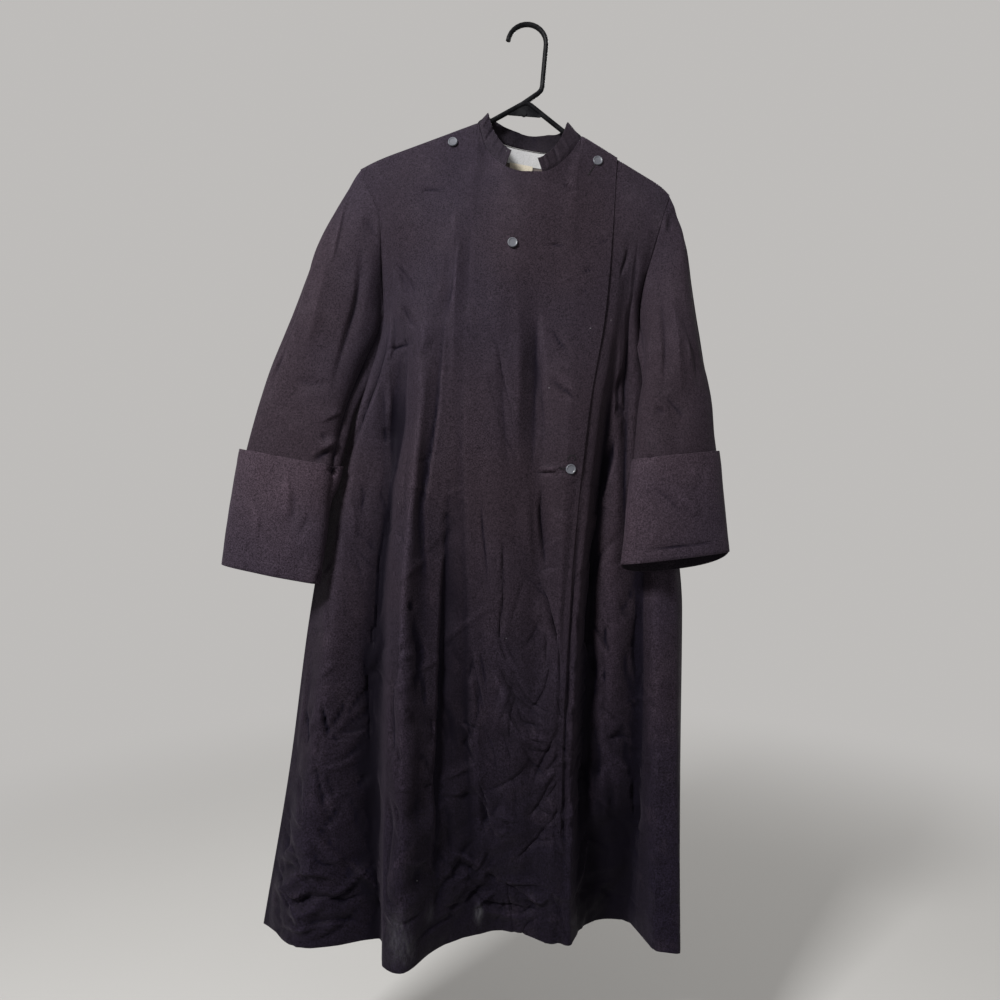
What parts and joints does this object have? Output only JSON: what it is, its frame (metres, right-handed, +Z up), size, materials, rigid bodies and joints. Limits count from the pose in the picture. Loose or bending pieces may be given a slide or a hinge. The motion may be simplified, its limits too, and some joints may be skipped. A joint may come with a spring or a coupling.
{
  "type": "cassock on a hanger",
  "caption": "Long black wrap-front cassock with a stand collar and wide turned-up cuffs, hanging open at neck, hem and cuffs on a tubular plastic hanger.",
  "frame": {"origin": "the point inside the top of the hanger's hook that rests on the wall hook or rail", "axes": "+Z up, +X to the wearer's left, -Y to the front of the garment"},
  "size_m": [0.8008, 0.161, 1.4838],
  "materials": {
    "cassock_cloth": "plain black suiting with a slight sheen",
    "facing_cloth": "matt brown-grey facing",
    "label_cloth": "white woven label, blank",
    "tag_cloth": "cream woven tag, blank",
    "button_plastic": "grey, slightly glossy",
    "hanger_plastic": "black, glossy"
  },
  "bodies": {
    "root": {"front_right": "cassock_cloth", "front_left": "cassock_cloth", "back": "cassock_cloth", "sleeve_right": "cassock_cloth", "sleeve_left": "cassock_cloth", "cuff_right": "cassock_cloth", "cuff_left": "cassock_cloth", "collar": "cassock_cloth", "neck_facing": "facing_cloth", "neck_label": "label_cloth", "size_tag": "tag_cloth", "button_shoulder_right": "button_plastic", "button_shoulder_left": "button_plastic", "button_chest": "button_plastic", "button_waist": "button_plastic", "hanger": "hanger_plastic"}
  },
  "joints": []
}
